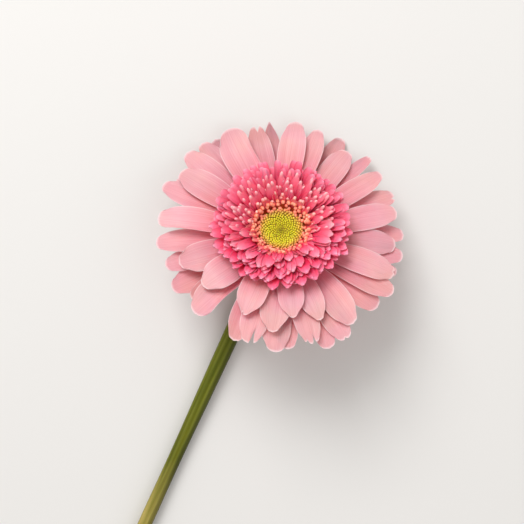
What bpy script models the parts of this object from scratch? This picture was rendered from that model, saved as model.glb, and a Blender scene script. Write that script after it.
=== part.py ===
"""A cut gerbera lying on a flat surface.

The stem lies along Y with its cut end toward -Y.  At the head its neck bends up, and the
flower faces up and away.  The head is modelled in its own frame, which an empty places:
its X is sideways, its Y points down the slope to the surface, and its Z is the flower's axis.
"""
import math

import bmesh
import bpy
from mathutils import Matrix, Vector

MM = 0.001

# The flower's axis, in the world.
HEAD_TILT = math.radians(30.0)        # lean of the axis from straight up
HEAD_TURN = math.radians(24.5)        # turn of that lean from the stem's line
HEAD_HEIGHT = 21.5 * MM               # head centre above the surface

# Ray florets, the long outer petals, in tiers that overlap without touching.
ROOT_RADIUS = 6.9 * MM
CLAW_HALF_WIDTH = 0.75 * MM
RAY_THICKNESS = 0.34 * MM
ROOT_LEVEL = -1.6 * MM                # height of the middle tier where it leaves the head
MIDDLE_TIER = 1.5
TIER_STEP_ROOT = 0.66 * MM
TIER_STEP_OUTER = 1.5 * MM
STEP_RADIUS = 26.0 * MM               # tiers are fully apart from here outwards
RISE = 2.2 * MM                       # how far a petal climbs on its way out
RISE_RADIUS = 30.0 * MM
CUP = 0.42 * MM                       # edges stand this far above the middle line
REST_START = 34.0 * MM                # tips past this line flatten against the surface
REST_BLEND = 6.0 * MM
WIDEST_AT = 0.68                      # along a petal, as a share of its length
CLAW_FLARE = 1.3                      # above one, the claw stays narrow for longer
TIP_BLUNTNESS = 2.8
TIP_CLOSES_AT = 1.03                  # the outline would meet just past the tip
STATION_CROWDING = 1.4                # stations crowd toward the tip
ALONG, ACROSS = 7, 3

# Each ray floret: direction round the head in degrees, clockwise from the low side,
# reach and greatest half width in millimetres, and tier, lowest first.
RAY_FLORETS = [
    (7.0, 42.5, 4.7, 3), (18.5, 42.4, 4.2, 2), (30.5, 45.4, 4.2, -1), (37.5, 41.3, 4.6, 1),
    (46.0, 45.5, 2.5, 0), (59.0, 42.5, 3.9, 2), (69.0, 43.6, 4.2, 0), (80.5, 41.6, 4.5, 2),
    (88.5, 43.5, 4.0, -1), (96.0, 40.2, 4.3, 1), (101.5, 43.2, 4.4, 0), (112.0, 42.0, 4.6, 2),
    (110.0, 42.5, 3.2, -1), (121.0, 44.3, 4.5, 1), (129.5, 42.5, 4.4, 0), (144.0, 41.8, 4.9, 2),
    (151.0, 44.8, 4.3, 1), (159.5, 36.0, 4.0, 3), (158.5, 45.0, 4.0, 0), (166.5, 42.6, 4.2, 2),
    (172.5, 33.5, 4.2, 4), (177.5, 42.4, 4.0, 0), (183.5, 43.7, 4.9, 1), (183.5, 38.0, 5.0, 3),
    (195.5, 42.5, 4.7, 2), (203.5, 42.2, 4.4, 0), (202.5, 34.5, 4.8, 4), (225.0, 41.9, 5.6, 1),
    (231.0, 39.0, 3.4, 0), (242.5, 42.5, 5.0, -1), (231.5, 34.0, 5.3, 3), (250.0, 37.2, 5.2, 2),
    (254.0, 41.8, 4.0, 0), (265.0, 43.8, 4.3, 1), (275.2, 43.3, 5.0, 3), (295.0, 46.1, 4.6, 1),
    (303.5, 42.9, 5.2, 2), (300.5, 43.4, 2.9, 0), (314.0, 46.7, 4.6, 1), (322.0, 46.8, 4.2, 0),
    (329.5, 45.8, 3.6, -1), (334.5, 43.8, 6.7, 3), (347.5, 43.0, 4.3, 1), (357.0, 44.9, 3.4, -1),
]

# Trans florets, the short crest between petals and disc.  Each whorl is one body, united
# at its base: base, shoulder and tip as (radius, height) in millimetres, then its florets.
CREST_WHORLS = [
    ((12.0, 2.3), (13.6, 6.4), (23.8, 8.2), 26),
    ((11.1, 2.3), (12.3, 7.6), (21.4, 9.2), 24),
    ((10.3, 2.3), (11.2, 8.2), (18.8, 9.7), 22),
    ((9.6, 2.3), (10.4, 8.0), (15.6, 9.6), 20),
    ((8.75, 2.3), (8.9, 6.6), (11.7, 8.1), 18),
]
CREST_THICKNESS = 0.34 * MM
CREST_NOTCH = 0.13                    # depth of the gap between two tips, as a share of length

# Involucre, the green bracts under the petals, given the same way, inner whorl first.
BRACT_WHORLS = [
    ((6.9, -6.4), (11.0, -4.9), (16.4, -4.95), 20),
    ((6.1, -8.6), (10.4, -6.6), (14.6, -6.35), 18),
]
BRACT_THICKNESS = 0.5 * MM
BRACT_NOTCH = 0.3
WHORL_STATIONS = 3

# The disc of closed buds: half outline from its crown, over its raised rim, to its foot.
DISC_OUTLINE = [(0.0, 3.0), (4.0, 3.3), (6.6, 3.9), (7.8, 3.7), (8.3, 3.0), (8.3, 2.1), (0.0, 2.1)]
DISC_STEPS = 32

# The receptacle, grown in one with the stem: height on the head's axis and radius.
RECEPTACLE = [
    (1.8, 12.4), (1.4, 12.4), (1.1, 6.6), (-3.0, 6.4), (-5.5, 6.0), (-7.5, 5.4),
    (-9.2, 4.7), (-10.8, 3.9), (-12.2, 3.4),
]
NECK_START = -13.5 * MM
NECK_RADIUS = 3.2 * MM
# Radius of the lying stem: mm from the neck's end, and mm; it narrows and swells again.
STEM_RADII = [(0.0, 3.2), (21.0, 3.2), (52.0, 2.85), (70.0, 2.5), (86.0, 2.65), (320.0, 3.0)]
STEM_LENGTH = 350.0 * MM              # from the receptacle to the cut
STEM_SIDE = 0.0 * MM                  # the lying stem passes this far beside the head centre
NECK_END_Y = -23.0 * MM
NECK_PULL = 8.5 * MM                  # how long the neck holds its direction at either end
STEM_CLEARANCE = 0.1 * MM
BOW_START = 90.0 * MM                 # the lying stem is straight up to here
BOW = 13.0 * MM                       # how far its cut end has curved aside
NECK_POINTS, LYING_POINTS = 9, 20
STEM_SIDES = 6                        # bevel resolution: 16 sides

COLLECTION = "cut_gerbera"


def smooth(value):
    """0 to 1 with level ends."""
    value = min(1.0, max(0.0, value))
    return value * value * (3.0 - 2.0 * value)


def bezier(points, t):
    """A point on the Bezier curve of three or four control points."""
    points = [Vector(point) for point in points]
    while len(points) > 1:
        points = [a.lerp(b, t) for a, b in zip(points, points[1:])]
    return points[0]


def make_material(name, color, roughness):
    material = bpy.data.materials.new(name)
    material.use_nodes = True
    shader = material.node_tree.nodes["Principled BSDF"]
    shader.inputs["Base Color"].default_value = (*color, 1.0)
    shader.inputs["Roughness"].default_value = roughness
    shader.inputs["Metallic"].default_value = 0.0
    material.diffuse_color = (*color, 1.0)
    return material


def add_object(name, data, material, parent):
    """Put new mesh or curve data in the flower's collection."""
    data.materials.append(material)
    item = bpy.data.objects.new(name, data)
    bpy.data.collections[COLLECTION].objects.link(item)
    item.parent = parent
    return item


def mesh_from(name, bm):
    bmesh.ops.recalc_face_normals(bm, faces=bm.faces)
    mesh = bpy.data.meshes.new(name)
    bm.to_mesh(mesh)
    bm.free()
    mesh.shade_smooth()
    return mesh


def thicken(item, thickness):
    """Give an open sheet its thickness, half to each side."""
    wall = item.modifiers.new("Thickness", "SOLIDIFY")
    wall.thickness = thickness
    wall.offset = 0.0


def ray_half_width(t, widest):
    """Half width along a petal: a narrow claw, widest past the middle, a round tip."""
    if t < WIDEST_AT:
        opened = math.sin(math.pi / 2 * t / WIDEST_AT) ** CLAW_FLARE
        return CLAW_HALF_WIDTH + (widest - CLAW_HALF_WIDTH) * opened
    past = (t - WIDEST_AT) / (TIP_CLOSES_AT - WIDEST_AT)
    return widest * math.sqrt(1.0 - past ** TIP_BLUNTNESS)


def ray_height(radius, angle, side, tier):
    """Height of a petal's middle surface, which all tiers share but for their distance."""
    apart = smooth((radius - ROOT_RADIUS) / (STEP_RADIUS - ROOT_RADIUS))
    step = TIER_STEP_ROOT + (TIER_STEP_OUTER - TIER_STEP_ROOT) * apart
    rise = RISE * smooth((radius - ROOT_RADIUS) / (RISE_RADIUS - ROOT_RADIUS))
    past = max(0.0, radius * math.cos(angle) - REST_START)
    slope = math.tan(HEAD_TILT)
    if past < REST_BLEND:
        rest = slope * past * past / (2 * REST_BLEND)
    else:
        rest = slope * (past - REST_BLEND / 2)
    cup = CUP * apart * (side * side - 1.0 / 3.0)
    return ROOT_LEVEL + (tier - MIDDLE_TIER) * step + rise + rest + cup


def ray_floret(number, direction, reach, widest, tier, material, parent):
    """One petal, as a sheet along +Y that is turned to its direction round the head."""
    direction, reach, widest = math.radians(direction), reach * MM, widest * MM
    bm = bmesh.new()
    bmesh.ops.create_grid(bm, x_segments=ACROSS, y_segments=ALONG, size=1.0)
    for vertex in bm.verts:
        side, along = vertex.co.x, (vertex.co.y + 1.0) / 2.0
        t = 1.0 - (1.0 - along) ** STATION_CROWDING
        radius = ROOT_RADIUS + (reach - ROOT_RADIUS) * t
        angle = side * math.asin(ray_half_width(t, widest) / radius)
        height = ray_height(radius, direction + angle, side, tier)
        vertex.co = (radius * math.sin(angle), radius * math.cos(angle), height)
    name = f"ray_floret_{number:02d}"
    petal = add_object(name, mesh_from(name, bm), material, parent)
    petal.rotation_euler.z = -direction
    thicken(petal, RAY_THICKNESS)


def whorl(name, base, shoulder, tip, count, notch, thickness, material, parent):
    """A ring of pointed florets or bracts that are united at the base."""
    bm = bmesh.new()
    bmesh.ops.create_cone(bm, cap_ends=False, segments=2 * count, radius1=1.0, radius2=1.0,
                          depth=1.0)
    uprights = [e for e in bm.edges if abs(e.verts[0].co.z - e.verts[1].co.z) > 0.5]
    bmesh.ops.subdivide_edges(bm, edges=uprights, cuts=WHORL_STATIONS - 2)
    for vertex in bm.verts:
        angle = math.atan2(vertex.co.y, vertex.co.x)
        along = vertex.co.z + 0.5
        in_gap = (1.0 - math.cos(angle * count)) / 2.0
        radius, height = bezier((base, shoulder, tip), along * (1.0 - notch * in_gap))
        vertex.co = (radius * MM * math.cos(angle), radius * MM * math.sin(angle), height * MM)
    item = add_object(name, mesh_from(name, bm), material, parent)
    thicken(item, thickness)


def disc_florets(material, parent):
    """The button of closed buds in the middle, turned from its outline."""
    mesh = bpy.data.meshes.new("disc_florets")
    points = [(radius * MM, 0.0, height * MM) for radius, height in DISC_OUTLINE]
    mesh.from_pydata(points, [(i, i + 1) for i in range(len(points) - 1)], [])
    disc = add_object("disc_florets", mesh, material, parent)
    turn = disc.modifiers.new("Turn", "SCREW")
    turn.steps = turn.render_steps = DISC_STEPS
    turn.use_merge_vertices = True
    turn.merge_threshold = 0.00001
    turn.use_smooth_shade = True


def stem_radius(distance):
    """Radius of the lying stem at a distance from the neck's end."""
    for (start, before), (end, after) in zip(STEM_RADII, STEM_RADII[1:]):
        if distance <= end:
            return (before + (after - before) * (distance - start) / (end - start)) * MM
    return STEM_RADII[-1][1] * MM


def stem_route(head):
    """Points and radii from the receptacle's top, down the neck, to the cut end."""
    axis = head.to_3x3() @ Vector((0, 0, 1))
    route = [(head @ Vector((0, 0, height * MM)), radius * MM) for height, radius in RECEPTACLE]
    start = head @ Vector((0, 0, NECK_START))
    lying_height = NECK_RADIUS + STEM_CLEARANCE
    end = Vector((STEM_SIDE, NECK_END_Y, lying_height))
    pulls = (start, start - axis * NECK_PULL, end + Vector((0, NECK_PULL, 0)), end)
    for i in range(NECK_POINTS):
        route.append((bezier(pulls, i / (NECK_POINTS - 1)), NECK_RADIUS))
    lying = STEM_LENGTH + NECK_START - abs(NECK_END_Y)
    for i in range(1, LYING_POINTS + 1):
        t = i / LYING_POINTS
        radius = stem_radius(lying * t / MM)
        bowed = max(0.0, lying * t - BOW_START) / (lying - BOW_START)
        place = Vector((STEM_SIDE + BOW * bowed * bowed, NECK_END_Y - lying * t,
                        radius + STEM_CLEARANCE))
        route.append((place, radius))
    return route


def stem(material, parent, head):
    """Stem and receptacle, which the plant grows as one piece."""
    curve = bpy.data.curves.new("stem", "CURVE")
    curve.dimensions = "3D"
    curve.bevel_depth = 1.0
    curve.bevel_resolution = STEM_SIDES
    curve.use_fill_caps = True
    route = stem_route(head)
    line = curve.splines.new("POLY")
    line.points.add(len(route) - 1)
    for point, (place, radius) in zip(line.points, route):
        point.co = (*place, 1.0)
        point.radius = radius
    add_object("stem", curve, material, parent)


def stand_at_origin(root):
    """Move the whole flower so that the middle of its box's foot is the origin."""
    bpy.context.view_layer.update()
    graph = bpy.context.evaluated_depsgraph_get()
    corners = []
    for item in bpy.data.collections[COLLECTION].objects:
        if item.type == "EMPTY":
            continue
        shown = item.evaluated_get(graph)
        mesh = shown.to_mesh()
        corners += [shown.matrix_world @ vertex.co for vertex in mesh.vertices]
        shown.to_mesh_clear()
    low = Vector([min(corner[i] for corner in corners) for i in range(3)])
    high = Vector([max(corner[i] for corner in corners) for i in range(3)])
    root.location = (-(low.x + high.x) / 2, -(low.y + high.y) / 2, -low.z)
    bpy.context.view_layer.update()


def main():
    for item in list(bpy.data.objects):
        bpy.data.objects.remove(item, do_unlink=True)
    collection = bpy.data.collections.new(COLLECTION)
    bpy.context.scene.collection.children.link(collection)

    petal_pink = make_material("petal_pink", (0.90, 0.47, 0.50), 0.55)
    crest_pink = make_material("crest_pink", (0.80, 0.14, 0.24), 0.5)
    bud_green = make_material("bud_green", (0.56, 0.60, 0.06), 0.5)
    stem_green = make_material("stem_green", (0.15, 0.17, 0.03), 0.5)
    bract_green = make_material("bract_green", (0.14, 0.20, 0.05), 0.55)

    root = bpy.data.objects.new("flower", None)
    collection.objects.link(root)
    head = bpy.data.objects.new("head", None)
    collection.objects.link(head)
    head.parent = root
    turn = Matrix.Rotation(HEAD_TURN, 4, "Z")
    lean = Matrix.Rotation(-HEAD_TILT, 4, "X")
    place = Matrix.Translation((0, 0, HEAD_HEIGHT)) @ turn @ lean
    head.matrix_local = place

    stem(stem_green, root, place)
    disc_florets(bud_green, head)
    for number, (base, shoulder, tip, count) in enumerate(CREST_WHORLS, 1):
        whorl(f"trans_florets_{number}", base, shoulder, tip, count, CREST_NOTCH,
              CREST_THICKNESS, crest_pink, head)
    for number, (base, shoulder, tip, count) in enumerate(BRACT_WHORLS, 1):
        whorl(f"bracts_{number}", base, shoulder, tip, count, BRACT_NOTCH,
              BRACT_THICKNESS, bract_green, head)
    for number, petal in enumerate(RAY_FLORETS, 1):
        ray_floret(number, *petal, petal_pink, head)
    stand_at_origin(root)


main()
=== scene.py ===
"""The looks of a cut gerbera, built around its solid model as an add-on would build them."""
import math
from functools import partialmethod

import bpy
import numpy as np
from bpy.props import FloatProperty, FloatVectorProperty, IntProperty, PointerProperty
from mathutils import Matrix, Vector


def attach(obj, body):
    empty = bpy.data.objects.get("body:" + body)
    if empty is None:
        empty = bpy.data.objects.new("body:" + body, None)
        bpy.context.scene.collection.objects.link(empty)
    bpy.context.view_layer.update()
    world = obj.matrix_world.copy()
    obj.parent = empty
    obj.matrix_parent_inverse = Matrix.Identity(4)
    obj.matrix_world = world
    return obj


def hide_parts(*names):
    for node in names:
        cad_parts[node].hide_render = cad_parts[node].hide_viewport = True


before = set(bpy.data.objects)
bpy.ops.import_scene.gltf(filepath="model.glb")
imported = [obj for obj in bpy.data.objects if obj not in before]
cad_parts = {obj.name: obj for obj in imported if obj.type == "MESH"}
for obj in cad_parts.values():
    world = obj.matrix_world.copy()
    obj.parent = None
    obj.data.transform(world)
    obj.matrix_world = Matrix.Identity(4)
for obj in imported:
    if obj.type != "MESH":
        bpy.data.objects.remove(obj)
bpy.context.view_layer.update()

bl_info = {
    "name": "Cut Gerbera",
    "version": (1, 0, 0),
    "blender": (4, 5, 0),
    "location": "3D View > Sidebar > Gerbera",
    "description": "Grows a gerbera's petals, crest, disc, bracts and stem on its solid model",
    "category": "Object",
}

MM = 0.001
GOLDEN_ANGLE = math.pi * (3.0 - math.sqrt(5.0))
RAY_NODES = sorted(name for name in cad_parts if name.startswith("ray_floret"))
CREST_NODES = sorted(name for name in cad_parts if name.startswith("trans_florets"))
BRACT_NODES = sorted(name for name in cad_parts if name.startswith("bracts"))


# ---------------- reading the solid model

def node_points(name):
    """The separate vertices of a model node, as rows of x, y, z."""
    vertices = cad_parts[name].data.vertices
    points = np.empty(len(vertices) * 3)
    vertices.foreach_get("co", points)
    return np.unique(points.reshape(-1, 3).round(7), axis=0)


def find_head():
    """The flower's own frame: Z along its axis, Y down the slope, origin at the disc's foot."""
    points = node_points("disc_florets")
    centre = points.mean(axis=0)
    axis = Vector(np.linalg.svd(points - centre)[2][2])
    if axis.z < 0:
        axis.negate()
    low = (axis * axis.z - Vector((0, 0, 1))).normalized()
    side = low.cross(axis)
    foot = min((points - centre) @ np.array(axis))
    place = Matrix((side, low, axis)).transposed().to_4x4()
    place.translation = Vector(centre) + axis * foot
    return place


HEAD = find_head()


def in_head(points):
    """World points in the flower's own frame."""
    inverse = np.array(HEAD.inverted())
    return points @ inverse[:3, :3].T + inverse[:3, 3]


def around_axis(points):
    """Radius, direction clockwise from the low side, and height of world points."""
    x, y, height = in_head(points).T
    return np.hypot(x, y), np.arctan2(x, y), height


def split_rows(values, gap):
    """Indices of values in runs, a new run wherever the next value is further than gap."""
    order = np.argsort(values)
    breaks = np.nonzero(np.diff(values[order]) > gap)[0] + 1
    return np.split(order, breaks)


class RaySpine:
    """Where a model petal lies: its direction, reach, half width and the height of its middle."""

    def __init__(self, node):
        radius, direction, height = around_axis(node_points(node))
        self.direction = math.atan2(np.sin(direction).mean(), np.cos(direction).mean())
        turned = np.angle(np.exp(1j * (direction - self.direction)))
        rows = split_rows(radius, 0.5 * MM)
        radii = [radius[row].mean() for row in rows]
        middle = [height[row][np.abs(turned[row]) < 0.6 * np.ptp(turned[row]) / 2].mean()
                  for row in rows]
        half = [radius[row].mean() * math.sin(np.ptp(turned[row]) / 2) for row in rows]
        self.root, self.reach = radii[0], radii[-1]
        self.claw, self.half_width = half[0], max(half)
        self.curve = np.polyfit(np.array(radii) / MM, np.array(middle) / MM, 5)

    def height(self, radius):
        return np.polyval(self.curve, radius / MM) * MM


def whorl_line(node):
    """Base, shoulder and tip of a whorl's florets, as (radius, height), from the model ring."""
    radius, direction, height = around_axis(node_points(node))
    outermost = radius > radius.max() - 0.35 * MM
    at_tip = np.abs(np.angle(np.exp(1j * (direction[:, None] - direction[outermost]))))
    on_line = at_tip.min(axis=1) < 0.01
    tip, base = outermost, on_line & (radius < radius.min() + 0.5 * MM)
    between = on_line & ~tip & ~base
    ends = [np.array((radius[part].mean(), height[part].mean())) for part in (base, between, tip)]
    return ends[0], 2.0 * ends[1] - (ends[0] + ends[2]) / 2.0, ends[2]


def slice_centre(triangles, point, direction, within):
    """Middle and mean radius of the model tube where a plane cuts it, near a point."""
    heights = (triangles - point) @ direction
    cuts = []
    for a, b in ((0, 1), (1, 2), (2, 0)):
        crossing = heights[:, a] * heights[:, b] < 0
        share = heights[crossing, a] / (heights[crossing, a] - heights[crossing, b])
        start, end = triangles[crossing, a], triangles[crossing, b]
        cuts.append(start + (end - start) * share[:, None])
    cuts = np.concatenate(cuts)
    cuts = cuts[np.linalg.norm(cuts - point, axis=1) < within]
    if not len(cuts):
        return None
    cuts = np.unique(cuts.round(7), axis=0)
    centre = (cuts.max(axis=0) + cuts.min(axis=0)) / 2.0
    return centre, np.linalg.norm(cuts - centre, axis=1).mean()


def follow_stem(start, step):
    """The stem's middle line and radii, followed through the model from the head to the cut."""
    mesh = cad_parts["stem"].data
    mesh.calc_loop_triangles()
    corners = np.array([vertex.co for vertex in mesh.vertices])
    triangles = corners[np.array([tri.vertices for tri in mesh.loop_triangles])]
    axis = np.array(HEAD.to_3x3().col[2])
    point, direction = np.array(HEAD.translation) - axis * start, -axis
    line, radii = [], []
    while True:
        found = slice_centre(triangles, point, direction, 2.0 * radii[-1] if radii else start)
        if found is None:
            break
        centre, radius = found
        if line:
            ahead = centre - line[-1]
            direction = ahead / np.linalg.norm(ahead)
        line.append(centre)
        radii.append(radius)
        point = centre + direction * step
    end = max((corners - line[-1]) @ direction * (np.linalg.norm(corners - line[-1], axis=1)
                                                  < 2.0 * step + radii[-1]))
    line.append(line[-1] + direction * end)
    radii.append(radii[-1])
    return np.array(line), np.array(radii)


def receptacle_rings(depth):
    """The model's rings round the flower's axis, as (radius, height), down to a depth."""
    radius, _, height = around_axis(node_points("stem"))
    near = (height > -depth) & (radius < 0.02)
    radius, height = radius[near], height[near]
    rows = split_rows(height, 0.15 * MM)
    return [(radius[row].mean(), height[row].mean()) for row in reversed(rows)]


# ---------------- making and placing pieces

def link(item):
    bpy.context.scene.collection.objects.link(item)
    return item


def finish_piece(item, replaced=()):
    """Hand a finished piece to the frame."""
    item.data.shade_smooth()
    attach(item, "root")
    if replaced:
        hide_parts(*replaced)


class Value:
    """A node's output; arithmetic with it adds the math nodes that work it out."""

    def __init__(self, tree, socket):
        self.tree, self.socket = tree, socket

    def __getitem__(self, output):
        """Another output of the same node."""
        return Value(self.tree, self.socket.node.outputs[output])

    def step(self, operation, *others):
        """One step of arithmetic, named as the math node names it."""
        return wire(self.tree, "ShaderNodeMath", dict(enumerate((self, *others))),
                    operation=operation)

    def __rsub__(self, other):
        return wire(self.tree, "ShaderNodeMath", {0: other, 1: self}, operation="SUBTRACT")

    __add__ = partialmethod(step, "ADD")
    __sub__ = partialmethod(step, "SUBTRACT")
    __mul__ = partialmethod(step, "MULTIPLY")
    __truediv__ = partialmethod(step, "DIVIDE")
    __mod__ = partialmethod(step, "MODULO")
    __pow__ = partialmethod(step, "POWER")


def wire(tree, kind, inputs=None, **settings):
    """Add a node, set its settings, link or set its inputs, and return its first output."""
    node = tree.nodes.new(kind)
    for name, value in settings.items():
        setattr(node, name, value)
    for socket, value in (inputs or {}).items():
        if isinstance(value, Value):
            tree.links.new(value.socket, node.inputs[socket])
        else:
            node.inputs[socket].default_value = value
    return Value(tree, node.outputs[0])


def vector(tree, *parts):
    return wire(tree, "ShaderNodeCombineXYZ", dict(enumerate(parts)))


def parts_of(tree, place):
    """X, Y and Z of a vector."""
    x = wire(tree, "ShaderNodeSeparateXYZ", {0: place})
    return x, x[1], x[2]


def vector_math(tree, operation, first, second=(0.0, 0.0, 0.0), scale=1.0):
    return wire(tree, "ShaderNodeVectorMath", {0: first, 1: second, 3: scale},
                operation=operation)


def new_tree(name, **labels):
    """An empty geometry tree with inputs of each kind, and those inputs by name."""
    tree = bpy.data.node_groups.new(name, "GeometryNodeTree")
    for kind, names in labels.items():
        for label in names:
            tree.interface.new_socket(label, in_out="INPUT", socket_type="NodeSocket" + kind)
    tree.interface.new_socket("Geometry", in_out="OUTPUT", socket_type="NodeSocketGeometry")
    given = tree.nodes.new("NodeGroupInput").outputs
    return tree, {socket.name: Value(tree, socket) for socket in given}


def random_value(tree, given, step, low, high):
    """A random number for each copy, drawn with the tree's seed and a step of its own."""
    return wire(tree, "FunctionNodeRandomValue", {
        2: low, 3: high, "Seed": given["Seed"] + float(step)}, data_type="FLOAT")[1]


def store(tree, geometry, name, value, domain="POINT"):
    """Keep a number on the geometry, under a name that its material can read."""
    return wire(tree, "GeometryNodeStoreNamedAttribute", {
        "Geometry": geometry, "Name": name, "Value": value}, data_type="FLOAT", domain=domain)


def close_tree(tree, geometry, material):
    """Every tree ends in real mesh with its material."""
    real = wire(tree, "GeometryNodeRealizeInstances", {"Geometry": geometry})
    painted = wire(tree, "GeometryNodeSetMaterial", {"Geometry": real, "Material": material})
    tree.links.new(painted.socket, tree.nodes.new("NodeGroupOutput").inputs[0])


def grow(name, tree, values, mesh=None):
    """Run a geometry tree and keep its result as a plain mesh object."""
    carrier = link(bpy.data.objects.new(name, mesh or bpy.data.meshes.new(name)))
    modifier = carrier.modifiers.new("Grow", "NODES")
    modifier.node_group = tree
    for socket in tree.interface.items_tree:
        if socket.in_out == "INPUT" and socket.name in values:
            modifier[socket.identifier] = values[socket.name]
    graph = bpy.context.evaluated_depsgraph_get()
    graph.update()
    grown = bpy.data.meshes.new_from_object(carrier.evaluated_get(graph),
                                            preserve_all_data_layers=True, depsgraph=graph)
    carrier.modifiers.remove(modifier)
    carrier.data = grown
    return carrier


def corner_vertices(mesh):
    return np.array([loop.vertex_index for loop in mesh.loops])


def lay_uv(mesh, across, along):
    """Give a mesh the one UV map that its material reads, from values at its corners."""
    layer = mesh.uv_layers.new(name="UVMap")
    layer.data.foreach_set("uv", np.stack((across, along), axis=1).reshape(-1))


def grid_faces(rows, columns, start=0, flip=False):
    """Quads over a grid of vertices numbered row by row."""
    faces = []
    for i in range(rows - 1):
        for j in range(columns - 1):
            a = start + i * columns + j
            quad = (a, a + 1, a + columns + 1, a + columns)
            faces.append(quad[::-1] if flip else quad)
    return faces


def sheet_mesh(name, top, under, u, v):
    """A closed thin body between two grids of points that share their edge lines."""
    rows, columns = top.shape[:2]
    count = rows * columns
    points = np.concatenate((top.reshape(-1, 3), under.reshape(-1, 3)))
    faces = grid_faces(rows, columns) + grid_faces(rows, columns, count, flip=True)
    edge = list(range(columns))
    edge += [i * columns + columns - 1 for i in range(1, rows)]
    edge += [(rows - 1) * columns + j for j in range(columns - 2, -1, -1)]
    edge += [i * columns for i in range(rows - 2, 0, -1)]
    around = list(zip(edge, edge[1:] + edge[:1]))
    faces += [(b, a, a + count, b + count) for a, b in around]
    mesh = bpy.data.meshes.new(name)
    mesh.from_pydata(points.tolist(), [], faces)
    rim = {frozenset(pair) for pair in around}
    for side in mesh.edges:
        a, b = side.vertices
        side.use_edge_sharp = a // count == b // count and frozenset(
            (a % count, b % count)) in rim
    corners = corner_vertices(mesh) % count
    lay_uv(mesh, u.reshape(-1)[corners], v.reshape(-1)[corners])
    return mesh


def ringed_mesh(name, rings, flip=False):
    """A closed body through rings of points, with a face across each end."""
    count = len(rings[0])
    points = [point for ring in rings for point in ring]
    faces = []
    for row in range(len(rings) - 1):
        for j in range(count):
            a, b = row * count + j, row * count + (j + 1) % count
            faces.append((a, b, b + count, a + count))
    faces += [tuple(range(count))[::-1], tuple(range(len(points) - count, len(points)))]
    if flip:
        faces = [(face[0], *face[:0:-1]) for face in faces]
    mesh = bpy.data.meshes.new(name)
    mesh.from_pydata(points, [], faces)
    return mesh


# ---------------- finishes

WHITE = (1.0, 1.0, 1.0, 1.0)
BLACK = (0.0, 0.0, 0.0, 1.0)


def tint(red, green, blue):
    """A colour as seen, 0 to 255 each, as the linear values a shader takes."""
    seen = [part / 255.0 for part in (red, green, blue)]
    linear = [((s + 0.055) / 1.055) ** 2.4 if s > 0.04045 else s / 12.92 for s in seen]
    return (*linear, 1.0)


def seen(*stops):
    """Stops for a ramp, each a place and a colour as seen."""
    return [(place, tint(*color)) for place, *color in stops]


def new_finish(name, roughness, **fixed):
    """A Principled material and its tree; the rest of its sockets are set by name."""
    material = bpy.data.materials.new(name)
    material.use_nodes = True
    shader = material.node_tree.nodes["Principled BSDF"]
    shader.inputs["Roughness"].default_value = roughness
    for socket, value in fixed.items():
        shader.inputs[socket.replace("_", " ")].default_value = value
    return material, material.node_tree


def paint(tree, color, height=None, distance=0.0001, strength=1.0):
    """Give a material's shader its colour and its fine relief."""
    sockets = tree.nodes["Principled BSDF"].inputs
    tree.links.new(color.socket, sockets["Base Color"])
    if height is not None:
        relief = wire(tree, "ShaderNodeBump", {
            "Height": height, "Distance": distance, "Strength": strength})
        tree.links.new(relief.socket, sockets["Normal"])


def ramp(tree, factor, stops):
    """Colours along 0 to 1."""
    color = wire(tree, "ShaderNodeValToRGB", {0: factor})
    elements = color.socket.node.color_ramp.elements
    while len(elements) < len(stops):
        elements.new(0.5)
    for element, (place, shade) in zip(elements, stops):
        element.position = place
        element.color = shade
    return color


def blend(tree, factor, first, second, mode="MIX"):
    """Two colours mixed, or the first multiplied by the second."""
    return wire(tree, "ShaderNodeMix", {0: factor, 6: first, 7: second},
                data_type="RGBA", blend_type=mode)[2]


def multiply(tree, first, *others):
    """A colour multiplied by each of the others in turn."""
    for other in others:
        first = blend(tree, 1.0, first, other, "MULTIPLY")
    return first


def uv_place(tree):
    """The piece's own UV map: across, along, and both as a vector."""
    place = wire(tree, "ShaderNodeUVMap", uv_map="UVMap")
    across, along, _ = parts_of(tree, place)
    return across, along, place


def attribute(tree, name):
    return wire(tree, "ShaderNodeAttribute", attribute_name=name)["Fac"]


def noise(tree, scale, detail=3.0, stretch=(1.0, 1.0, 1.0), place=None):
    """Cloudy noise over the object, or over a place given instead."""
    place = place or wire(tree, "ShaderNodeTexCoord")["Object"]
    mapped = wire(tree, "ShaderNodeMapping", {0: place, 3: stretch})
    return wire(tree, "ShaderNodeTexNoise",
                {"Vector": mapped, "Scale": scale, "Detail": detail})


def high_side(tree):
    """From 0 on the head's low side to 1 on its high side; it blends the painted light and shade
    copies of a colour.
    """
    place = wire(tree, "ShaderNodeTexCoord")["Object"]
    from_middle = vector_math(tree, "SUBTRACT", place, HEAD.translation)
    uphill = vector_math(tree, "DOT_PRODUCT", from_middle, -HEAD.to_3x3().col[1])["Value"]
    return wire(tree, "ShaderNodeMapRange", {
        "Value": uphill, "From Min": -3.0 * MM, "From Max": 9.0 * MM})


def off_middle(across):
    """From 0 on a petal's middle line to 1 at either edge."""
    return (across * 2.0 - 1.0).step("ABSOLUTE")


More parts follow.
